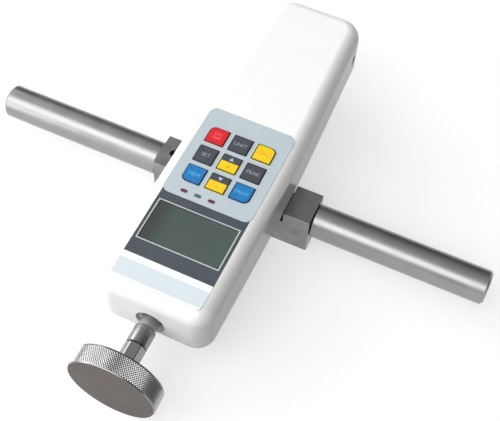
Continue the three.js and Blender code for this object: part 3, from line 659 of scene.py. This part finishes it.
# The three lamps: small lenses of tinted acrylic that stand on the board and come through the
# foil. They are unlit, and so look dull: red for high and low, and green for good.
lens_bottom, lens_top = 52.05, 56.3
lamp_red, tree, shader = new_material("tinted_acrylic_red", IOR=1.49)
wear_in(tree, shader, ("#5c2c38", "#6c3844"), 0.6, (0.22, 0.3), 0.1)
lamp_green, tree, shader = new_material("tinted_acrylic_green", IOR=1.49)
wear_in(tree, shader, ("#3a6660", "#477670"), 0.6, (0.22, 0.3), 0.1)
for name, x in lamps.items():
    lens_corners = grown(*around(x, lamp_y, *lamp_half), lens_bottom, lens_top, 0)
    lens = plate(f"{name}_lens", *lens_corners, 0.8, 4)
    start_edit(lens)
    pick("EDGE", lambda ends: all(near(end.z, lens_top) for end in ends))
    round_off(0.2, 3)
    end_edit()
    smooth(lens)
    lens.data.materials.append(lamp_green if name == "good" else lamp_red)
    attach(lens, "gauge")
    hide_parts(f"{name}_lamp")

# The nine keys: hard pads on the contact sheet, coloured and lacquered satin, with a dark rim round
# each pad's top. The words are screen printed in matt ink, and say only what each key does.
key_top = 56.7
skirt_bottom, skirt_top, skirt_reach = 52.9, 53.5, 0.7
rim_width, rim_slope, pad_lift = 0.45, 0.2, 0.18
colour_line = 0.9
word_lift, mark_lift = 0.015, 0.02
pad_colours = {
    "red": ("#d6131d", "#de1f28", "#4c1016"),
    "dark": ("#42454a", "#4a4d53", "#1b1c1f"),
    "yellow": ("#f0c904", "#f4d110", "#2e2b10"),
    "blue": ("#1772b5", "#1f7fc1", "#0a2436"),
}
pads = {}
rims = {}
for colour, (deep, light, rim) in pad_colours.items():
    pads[colour], tree, shader = new_material(f"lacquered_pad_{colour}", IOR=1.5)
    wear_in(tree, shader, (deep, light), 0.4, (0.32, 0.4), 0.12)
    rims[colour], tree, shader = new_material(f"pad_rim_{colour}", IOR=1.5)
    wear_in(tree, shader, (rim,), 0.4, (0.4, 0.5), 0.12)
key_colours = {
    "power": "red",
    "unit": "dark",
    "zero": "yellow",
    "set": "dark",
    "up": "yellow",
    "peak": "dark",
    "memory": "blue",
    "down": "yellow",
    "print": "blue",
}
key_words = {
    "power": (["ON", "OFF"], 3.0, "#f0717c"),
    "unit": (["UNIT"], 3.4, "#98a2a8"),
    "zero": (["ZERO"], 3.4, "#e8a23c"),
    "set": (["SET"], 3.4, "#98a2a8"),
    "peak": (["PEAK"], 3.4, "#98a2a8"),
    "memory": (["MEM"], 3.4, "#5cb8e0"),
    "print": (["PRINT"], 3.0, "#5cb8e0"),
}
word_inks = {}
for name, (column, row, wide) in keys.items():
    x, y = key_columns[column], key_rows[row]
    colour = key_colours[name]
    body = f"{name}_key"
    pad = key_plate(f"{name}_pad", x, y, skirt_bottom + 0.05, key_top - pad_lift, 0, wide)
    skirt = key_plate("skirt", x, y, skirt_bottom, skirt_top, skirt_reach, wide)
    pad.data.materials.append(pads[colour])
    pad.data.materials.append(rims[colour])
    start_edit(pad)
    pick("FACE", lambda points: all(near(point.z, key_top - pad_lift) for point in points))
    coat_picked(pad, 1)
    bpy.ops.mesh.inset(thickness=rim_width * mm, use_even_offset=True)
    bpy.ops.mesh.inset(thickness=rim_slope * mm, depth=pad_lift * mm, use_even_offset=True)
    coat_picked(pad, 0)
    if name in ("up", "down"):
        pad.data.materials.append(pads["dark"])
        bpy.ops.mesh.bisect(
            plane_co=Vector((0, y + colour_line, 0)) * mm, plane_no=(0, 1, 0), threshold=1e-7
        )
        pick(
            "FACE",
            lambda points: all(
                near(point.z, key_top) and point.y > y + colour_line - 0.05 for point in points
            ),
        )
        coat_picked(pad, 2)
    pick(
        "EDGE",
        lambda ends: all(near(end.z, key_top - pad_lift) for end in ends)
        and any(near(abs(end.x - x), key_half) or near(abs(end.y - y), key_half) for end in ends),
    )
    round_off(0.12, 2)
    end_edit()
    pad = joined([pad, skirt])
    smooth(pad, 25)
    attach(pad, body)
    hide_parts(body)
    lines, size, ink = key_words.get(name, ([], 0, ""))
    if ink and ink not in word_inks:
        word_inks[ink], tree, shader = new_material(f"screen_ink_{ink[1:]}", IOR=1.5)
        wear_in(tree, shader, (ink,), 0.3, (0.4, 0.5), 0.05)
    words = []
    for i, line in enumerate(lines):
        bpy.ops.object.select_all(action="DESELECT")
        bpy.ops.object.text_add()
        word = bpy.context.object
        word.data.body = line
        word.data.size = size * mm
        word.data.align_x, word.data.align_y = "CENTER", "CENTER"
        word.data.extrude = word_lift * mm
        bpy.ops.object.convert(target="MESH")
        drop = (len(lines) - 1) / 2 - i
        low = min(v.co.y for v in word.data.vertices)
        high = max(v.co.y for v in word.data.vertices)
        level = y * mm - (low + high) / 2 + drop * size * mm
        word.data.transform(Matrix.Translation((x * mm, level, (key_top + word_lift) * mm)))
        words.append(word)
    if words:
        word = joined(words)
        word.name = f"{name}_word"
        word.data.materials.append(word_inks[ink])
        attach(word, body)

# The small marks on the two arrow keys: a triangle on the dark half and a step sign on the other,
# screen printed in a matt ink that lies on the lacquer.
arrow_radius, arrow_y, arrow_shift = 1.5, 3.1, 0.2
step_y, bar_half, bar_thin = -2.3, 1, 0.25
arrow_ink, tree, shader = new_material("screen_ink_lilac", IOR=1.5)
wear_in(tree, shader, ("#b4b6d6", "#c0c2de"), 0.3, (0.4, 0.5), 0.05)
step_ink, tree, shader = new_material("screen_ink_amber", IOR=1.5)
wear_in(tree, shader, ("#d8a040", "#e0aa4c"), 0.3, (0.4, 0.5), 0.05)
for name, turn in (("up", 1), ("down", -1)):
    column, row, wide = keys[name]
    x, y = key_columns[column], key_rows[row]
    bpy.ops.object.select_all(action="DESELECT")
    bpy.ops.mesh.primitive_circle_add(
        vertices=3,
        radius=arrow_radius * mm,
        fill_type="NGON",
        location=(x * mm, (y + arrow_y - arrow_shift * turn) * mm, key_top * mm),
        rotation=(0, 0, 0 if turn > 0 else math.pi),
    )
    arrow = settle(f"{name}_arrow")
    start_edit(arrow)
    bpy.ops.mesh.select_all(action="SELECT")
    bpy.ops.mesh.extrude_region_move(TRANSFORM_OT_translate={"value": (0, 0, mark_lift * mm)})
    bpy.ops.mesh.select_all(action="SELECT")
    bpy.ops.mesh.normals_make_consistent(inside=False)
    end_edit()
    arrow.data.materials.append(arrow_ink)
    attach(arrow, f"{name}_key")
    bars = [(bar_half, bar_thin), (bar_thin, bar_half)] if turn > 0 else [(bar_half, bar_thin)]
    sign = joined(
        [
            block(
                f"{name}_sign",
                *grown(*around(x, y + step_y, *bar), key_top, key_top + mark_lift, 0),
            )
            for bar in bars
        ]
    )
    sign.data.materials.append(step_ink)
    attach(sign, f"{name}_key")

# The spindle: steel, turned in one piece. A ground sleeve stands in front of the housing. Behind a
# relief groove a thinner, dull shaft goes through the hole to the load cell. There is a stud at
# each end.
sleeve_radius, sleeve_end, shaft_radius = 5.9, -110.7, 4.9
spindle = turning(
    "spindle_sleeve",
    "y",
    (0, 0, spindle_z),
    [
        (-129.1, 3),
        (-121.1, 3),
        (-121.1, 5.5),
        (-120.7, sleeve_radius),
        (-111.1, sleeve_radius),
        (sleeve_end, 5.5),
        (sleeve_end, 4.4),
        (-110.3, 4.4),
        (-110.3, shaft_radius),
        (-100.1, shaft_radius),
        (-100.1, 4),
        (-78.1, 4),
        (-78.1, 7),
        (-71.2, 7),
        (-71.2, 3),
        (-63.2, 3),
    ],
    96,
)


def turned_metal(name, colours, axis, pitch, roughness, bump):
    """Metal with fine marks round an axis: the pitch between them is in millimetres."""
    mark_length = 9
    material, tree, shader = new_material(name, Metallic=1)
    place, _, relief = wear_in(tree, shader, colours, 0.5, roughness, bump / 3)
    drawn = [1 / ((pitch if letter == axis else mark_length) * mm) for letter in "xyz"]
    stretched = add_node(tree, "ShaderNodeMapping", {"Vector": place, "Scale": drawn})
    rings = add_node(
        tree, "ShaderNodeTexNoise", {"Vector": stretched.outputs[0], "Scale": 1, "Detail": 3}
    )
    marks = add_node(
        tree,
        "ShaderNodeBump",
        {
            "Height": rings.outputs["Fac"],
            "Strength": bump,
            "Distance": pitch * 0.3 * mm,
            "Normal": relief.outputs[0],
        },
    )
    tree.links.new(marks.outputs[0], shader.inputs["Normal"])
    return material, tree, shader, place


# Ground steel: a neutral grey, whose marks run round it and draw its lights out along it.
steel, *_ = turned_metal("ground_steel", ("#8c8b8b", "#989797"), "y", 0.25, (0.2, 0.28), 0.12)
smooth(spindle)
spindle.data.materials.append(steel)

# The shaft isn't ground after it is turned, so its light is spread wide.
dull_steel, *_ = turned_metal(
    "dull_turned_steel", ("#a5a3a1", "#b1afad"), "y", 0.4, (0.5, 0.6), 0.2
)
spindle.data.materials.append(dull_steel)
start_edit(spindle)
pick(
    "FACE",
    lambda points: all(
        point.y > sleeve_end - 0.1 and from_spindle(point) < shaft_radius + 0.05
        for point in points
    ),
)
coat_picked(spindle, 1)
end_edit()
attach(spindle, "force_train")
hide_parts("spindle")

# The coupler: a piece of drawn hexagon bar with the corners turned down and the ends chamfered. It
# is bored and tapped for the spindle's stud, and has a stud of its own for the disc.
hex_low, hex_high = -136.3, -121.4
hex_radius, turned_radius, hex_edge = 6, 5.85, 0.5
bpy.ops.object.select_all(action="DESELECT")
bpy.ops.mesh.primitive_cylinder_add(
    vertices=6,
    radius=hex_radius * mm,
    depth=(hex_high - hex_low) * mm,
    location=Vector((0, (hex_low + hex_high) / 2, spindle_z)) * mm,
    rotation=(math.pi / 2, 0, 0),
)
coupler = settle("coupler_hexagon")
hexagon_turn = Matrix.Rotation(math.radians(-23), 4, "Y")
to_axis = Matrix.Translation(Vector((0, 0, spindle_z)) * mm)
coupler.data.transform(to_axis @ hexagon_turn @ to_axis.inverted())
barrel_stations = [
    (hex_low, turned_radius - hex_edge),
    (hex_low + hex_edge, turned_radius),
    (hex_high - hex_edge, turned_radius),
    (hex_high, turned_radius - hex_edge),
]
barrel = turning("barrel", "y", (0, 0, spindle_z), barrel_stations, 96)
carve(coupler, barrel, "INTERSECT")
carve(coupler, turning("bore", "y", (0, 0, spindle_z), [(-130.4, 3.3), (-120, 3.3)], 32))
stud = turning("stud", "y", (0, 0, spindle_z), [(-144.3, 3), (-136, 3)], 32)
carve(coupler, stud, "UNION")
smooth(coupler, 20)

# Drawing leaves fine lines along the bar's flats.
drawn_steel, *_ = turned_metal(
    "drawn_hexagon_steel", ("#919192", "#9f9fa0"), "x", 0.35, (0.2, 0.3), 0.35
)
coupler.data.materials.append(drawn_steel)
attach(coupler, "force_train")
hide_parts("hex_coupler")

# The pressure disc: turned steel with a diamond knurl rolled into its rim. Its face is sand-dull,
# and the chamfers beside the knurl are bright.
disc_front, disc_back, disc_radius = -147.7, -136.6, 24.5
knurl_depth, knurl_count, knurl_rows = 0.34, 224, 14
knurl_edge, chamfer, bore_radius, bore_depth = 0.5, 0.6, 3.3, 9
rim_radius = disc_radius - knurl_depth
knurl_low, knurl_high = disc_front + knurl_edge, disc_back - knurl_edge
row_height = (knurl_high - knurl_low) / knurl_rows
disc_stations = [(disc_front, disc_radius - chamfer), (disc_front + 0.1, disc_radius - knurl_edge)]
disc_stations += [(knurl_low + i * row_height, rim_radius) for i in range(knurl_rows + 1)]
disc_stations += [
    (disc_back, disc_radius - chamfer),
    (disc_back, bore_radius),
    (disc_back - bore_depth, bore_radius),
]
disc = turning("knurled_disc", "y", (0, 0, spindle_z), disc_stations, knurl_count)
start_edit(disc)


def raised(points):
    """True for every other point of the rim's net, row by row."""
    point = points[0]
    row = (point.y - knurl_low) / row_height
    if from_spindle(point) < rim_radius - 0.1:
        return False
    if not 0.5 < row < knurl_rows - 0.5:
        return False
    turn = math.atan2(point.x, point.z - spindle_z) / (2 * math.pi) * knurl_count
    return (round(turn) + round(row)) % 2 == 0


pick("VERT", raised)
bpy.ops.transform.resize(
    value=(disc_radius / rim_radius, 1, disc_radius / rim_radius),
    center_override=(0, 0, spindle_z * mm),
)
pick("FACE", lambda points: all(from_spindle(point) > rim_radius - 0.1 for point in points))
bpy.ops.mesh.quads_convert_to_tris(quad_method="SHORTEST_DIAGONAL")
end_edit()
smooth(disc, 12)

# Rolled steel: the knurl's points are bright, and the grooves between them are painted darker, as
# grime and as painted shade.
knurl_steel, tree, shader, place = turned_metal(
    "knurled_steel", ("#bebec0", "#c9c9cb"), "y", 0.4, (0.22, 0.3), 0.05
)
metal = shader.inputs["Base Color"].links[0].from_socket
from_axis = add_node(
    tree,
    "ShaderNodeVectorMath",
    {0: place, 1: Vector((0, 0, spindle_z)) * mm},
    operation="SUBTRACT",
)
outward = add_node(
    tree, "ShaderNodeVectorMath", {0: from_axis.outputs[0], 1: (1, 0, 1)}, operation="MULTIPLY"
)
radius = add_node(tree, "ShaderNodeVectorMath", {0: outward.outputs[0]}, operation="LENGTH")
out_of_groove = add_node(
    tree,
    "ShaderNodeMapRange",
    {
        "Value": radius.outputs["Value"],
        "From Min": rim_radius * mm,
        "From Max": (rim_radius + knurl_depth * 0.7) * mm,
    },
)
# Darker towards the bottom of the grooves: painted grime and painted shade.
groove_grime_and_shade = add_node(
    tree,
    "ShaderNodeMix",
    {0: out_of_groove.outputs[0], 6: linear("#858484"), 7: metal},
    data_type="RGBA",
)
tree.links.new(groove_grime_and_shade.outputs[2], shader.inputs["Base Color"])

# Sanded steel that hands and loads have browned: dull and nearly without lights.
face_steel, tree, shader = new_material("sanded_steel", Metallic=0.6)
wear_in(tree, shader, ("#57514e", "#706966"), 0.6, (0.5, 0.66), 0.3)
for finish in (steel, face_steel, knurl_steel):
    disc.data.materials.append(finish)
start_edit(disc)
pick("FACE", lambda points: all(from_spindle(point) > rim_radius - 0.05 for point in points))
coat_picked(disc, 2)
pick("FACE", lambda points: all(near(point.y, disc_front) for point in points))
coat_picked(disc, 1)
end_edit()
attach(disc, "force_train")
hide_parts("pressure_disc")

# The cradle: a bar milled from bright steel, with a channel for the housing and an ear at each
# end, bored for the handle rods. Two screws from below hold the housing in it.
cradle_half, cradle_depth, cradle_top = 49.4, 10.9, 28
channel_half, channel_floor = 33.3, 20
rod_z, stud_length, stud_radius, stud_gap = 17.8, 14, 5, 0.3
cradle = block(
    "cradle_block",
    (-cradle_half, -cradle_depth, 0),
    (cradle_half, cradle_depth, cradle_top),
)
channel = block("channel", (-channel_half, -15, channel_floor), (channel_half, 15, 40))
carve(cradle, channel)
start_edit(cradle)
bpy.ops.mesh.select_mode(type="EDGE")
bpy.ops.mesh.select_all(action="SELECT")
round_off(0.5, 3)
end_edit()
ear_middle = (channel_half + cradle_half) / 2
well_stations = [(-1, 4.5), (5.1, 4.5), (5.1, 2.8), (21, 2.8)]
for side in (1, -1):
    ends = (cradle_half + 1) * side, (cradle_half - stud_length - stud_gap) * side
    bore_stations = [(end, stud_radius + stud_gap) for end in ends]
    carve(cradle, turning("bore", "x", (0, 0, rod_z), bore_stations, 48))
    carve(cradle, turning("well", "z", (cradle_screw_x * side, 0, 0), well_stations, 40))
carve(cradle, turning("grub_hole", "z", (-ear_middle, 0, 0), [(rod_z, 2.3), (30, 2.3)], 32))

# Milling leaves fine lines, and patches of brighter and of duller steel.
milled, *_ = turned_metal(
    "milled_bright_steel", ("#6d6b6a", "#adacac"), "x", 0.3, (0.22, 0.38), 0.35
)
smooth(cradle, 25)
cradle.data.materials.append(milled)
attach(cradle, "gauge")
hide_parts("cradle_bar")

# The two handle rods: round steel bar, chamfered at both ends, the outer one more. Each is screwed
# into its ear by a stud that is turned on its inner end.
rod_radius, rod_start, rod_end = 9.9, 49.7, 152.7
rod_stations = [
    (rod_start - stud_length, stud_radius),
    (rod_start, stud_radius),
    (rod_start, 9.3),
    (rod_start + 0.6, rod_radius),
    (rod_end - 1.4, rod_radius),
    (rod_end, 8.5),
]

# Bright drawn steel: very fine rings, and a long soft light along the bar.
bright, *_ = turned_metal(
    "bright_drawn_steel", ("#959597", "#a3a3a5"), "x", 0.5, (0.29, 0.38), 0.12
)
for side, name in ((1, "right"), (-1, "left")):
    stations = [(station * side, station_radius) for station, station_radius in rod_stations]
    rod = turning(f"rod_{name}", "x", (0, 0, rod_z), stations, 128)
    smooth(rod)
    rod.data.materials.append(bright)
    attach(rod, "gauge")
    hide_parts(f"handle_rod_{name}")

# The charger's socket on the right side near the tail: moulded black nylon with a contact pin
# inside. It is pushed through the wall from within, up to its flange.
socket_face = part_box("charger_jack")[1].x / mm
pin_stations = [(-8, 0.6), (-1, 0.6), (-0.8, 0.4)]
socket_stations = [
    (-8, 1.9),
    (-0.3, 1.9),
    (0, 2.1),
    (0, 2.7),
    (-2.6, 2.7),
    (-2.6, 4.2),
    (-4.1, 4.2),
    (-4.1, 4),
    (-12.1, 4),
]
pin, socket = [
    turning(
        name,
        "x",
        (0, socket_y, socket_z),
        [(socket_face + station, station_radius) for station, station_radius in stations],
        steps,
    )
    for name, stations, steps in (
        ("pin", pin_stations, 24),
        ("charger_socket", socket_stations, 48),
    )
]
socket = joined([socket, pin])
smooth(socket)
black_nylon, tree, shader = new_material("moulded_black_nylon", IOR=1.53)
wear_in(tree, shader, ("#17171a", "#202023"), 0.6, (0.4, 0.5), 0.2)
socket.data.materials.append(black_nylon)
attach(socket, "gauge")
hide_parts("charger_jack")

# The screws and the pieces inside keep their own solids, since the housing hides most of them. They
# are zinc plated screws, a black grub screw, a milled load cell on a folded steel bracket, a board
# with its contact sheet, and the battery pack in its wrap.
zinc, *_ = turned_metal(
    "zinc_plated_steel", ("#a9abae", "#b6b8ba"), "z", 0.3, (0.3, 0.4), 0.1
)
black_oxide, *_ = turned_metal(
    "black_oxide_steel", ("#26262a", "#313136"), "z", 0.3, (0.35, 0.45), 0.1
)
cell_metal, *_ = turned_metal(
    "milled_aluminium", ("#c2c4c6", "#cfd1d3"), "x", 0.4, (0.3, 0.4), 0.15
)
bracket_steel, *_ = turned_metal(
    "folded_steel", ("#9a9a9a", "#a8a8a8"), "x", 0.5, (0.35, 0.45), 0.12
)
board_resin, tree, shader = new_material("solder_masked_board", IOR=1.55)
wear_in(tree, shader, ("#1c5434", "#236240"), 0.8, (0.3, 0.45), 0.1)
silicone, tree, shader = new_material("silicone_rubber", IOR=1.41)
wear_in(tree, shader, ("#93938f", "#a0a09c"), 0.6, (0.7, 0.85), 0.2)
wrap, tree, shader = new_material("shrink_wrap_film", IOR=1.54)
wear_in(tree, shader, ("#264570", "#30507e"), 1.5, (0.25, 0.4), 0.3)
node_finishes = {
    "main_board": board_resin,
    "key_contact_sheet": silicone,
    "load_cell": cell_metal,
    "cell_bracket": bracket_steel,
    "battery_pack": wrap,
    "grub_screw": black_oxide,
}
for name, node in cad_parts.items():
    if name in node_finishes or "screw" in name or "bolt" in name:
        node.material_slots[0].material = node_finishes.get(name, zinc)

# The table: white paper under the gauge, which rests on the cradle's front edge and on the disc's
# rim. The camera, metal and glass see it white, and it throws little light back on the gauge.
table_size, table_drop, tilt = 24, 0.05, math.radians(-3.75)
bpy.ops.object.select_all(action="DESELECT")
bpy.ops.mesh.primitive_plane_add(
    size=table_size,
    location=(0, -cradle_depth * mm, -table_drop * mm),
    rotation=(tilt, 0, 0),
)
table = bpy.context.object
table.name = "table"
paper, tree, shader = new_material("white_paper", Specular_IOR_Level=0)
_, cloud, _ = wear_in(tree, shader, ("#b8b8b8", "#bcbcbc"), 3, (0.9, 0.95), 0.05)
path = add_node(tree, "ShaderNodeLightPath")
seen = add_node(
    tree,
    "ShaderNodeMath",
    {0: path.outputs["Is Camera Ray"], 1: path.outputs["Is Glossy Ray"]},
    operation="MAXIMUM",
)
seen = add_node(
    tree,
    "ShaderNodeMath",
    {0: seen.outputs[0], 1: path.outputs["Is Transmission Ray"]},
    operation="MAXIMUM",
)
shown = add_node(
    tree,
    "ShaderNodeMix",
    {0: seen.outputs[0], 6: linear("#606060"), 7: cloud},
    data_type="RGBA",
)
tree.links.new(shown.outputs[2], shader.inputs["Base Color"])
lift = add_node(tree, "ShaderNodeMath", {0: seen.outputs[0], 1: 0.56}, operation="MULTIPLY")
glow = add_node(tree, "ShaderNodeEmission", {"Strength": lift.outputs[0]})
both = add_node(tree, "ShaderNodeAddShader", {0: shader.outputs[0], 1: glow.outputs[0]})
clear = add_node(tree, "ShaderNodeBsdfTransparent")
behind = add_node(tree, "ShaderNodeNewGeometry")
one_sided = add_node(
    tree,
    "ShaderNodeMixShader",
    {0: behind.outputs["Backfacing"], 1: both.outputs[0], 2: clear.outputs[0]},
)
tree.links.new(one_sided.outputs[0], tree.nodes["Material Output"].inputs["Surface"])
table.data.materials.append(paper)

# The studio: its walls are brighter on the left and at the front than on the right and at the
# back, and a soft ceiling light hangs a little to the left.
world = bpy.data.worlds.new("studio")
bpy.context.scene.world = world
world.use_nodes = True
tree = world.node_tree
sight = add_node(tree, "ShaderNodeTexCoord").outputs["Generated"]
side = add_node(
    tree, "ShaderNodeVectorMath", {0: sight, 1: (-0.5, -0.48, 0)}, operation="DOT_PRODUCT"
)
walls = add_node(tree, "ShaderNodeMath", {0: side.outputs["Value"], 1: 0.25}, operation="ADD")
walls = add_node(tree, "ShaderNodeMath", {0: walls.outputs[0], 1: 0.14}, operation="MAXIMUM")
overhead = add_node(
    tree,
    "ShaderNodeVectorMath",
    {0: sight, 1: Vector((-0.35, 0, 0.94)).normalized()},
    operation="DOT_PRODUCT",
)
ceiling = add_node(
    tree,
    "ShaderNodeMapRange",
    {
        "Value": overhead.outputs["Value"],
        "From Min": 0.35,
        "From Max": 1,
        "To Min": 0,
        "To Max": 0.38,
    },
    interpolation_type="SMOOTHSTEP",
)
brightness = add_node(
    tree, "ShaderNodeMath", {0: walls.outputs[0], 1: ceiling.outputs[0]}, operation="ADD"
)
sky = tree.nodes["Background"]
tree.links.new(brightness.outputs[0], sky.inputs["Strength"])
sky.inputs["Color"].default_value = (1, 1, 1, 1)

# The lamps: a soft box in front and above, a tall soft panel on the left, and a low one in front of
# it that lights the sensor end.
soft_lamps = {
    "front_box": ((-0.28, -0.88, 1.17), 1.8, 0.9, 12),
    "left_panel": ((-1.5, 0.45, 0.75), 1.5, 1.0, 14.5),
    "low_panel": ((-1.1, -0.75, 0.28), 1.2, 0.6, 8.5),
}
for name, (place_at, width, height, power) in soft_lamps.items():
    light = bpy.data.lights.new(name, "AREA")
    light.shape = "RECTANGLE"
    light.size, light.size_y = width, height
    light.energy = power
    holder = bpy.data.objects.new(name, light)
    bpy.context.scene.collection.objects.link(holder)
    holder.location = place_at
    aim = Vector((0, -0.03, 0.03)) - Vector(place_at)
    holder.rotation_euler = aim.to_track_quat("-Z", "Y").to_euler()

# The camera: a short telephoto view from the front right and above, with the gauge filling the
# frame.
camera = bpy.data.objects.new("camera", bpy.data.cameras.new("camera"))
bpy.context.scene.collection.objects.link(camera)
camera.location = (0.126953, -0.297272, 0.474818)
camera.rotation_euler = [math.radians(angle) for angle in (33.9676, -2.0258, 24.6543)]
camera.data.lens = 68.946
camera.data.sensor_width = 36
camera.data.sensor_fit = "HORIZONTAL"
bpy.context.scene.camera = camera
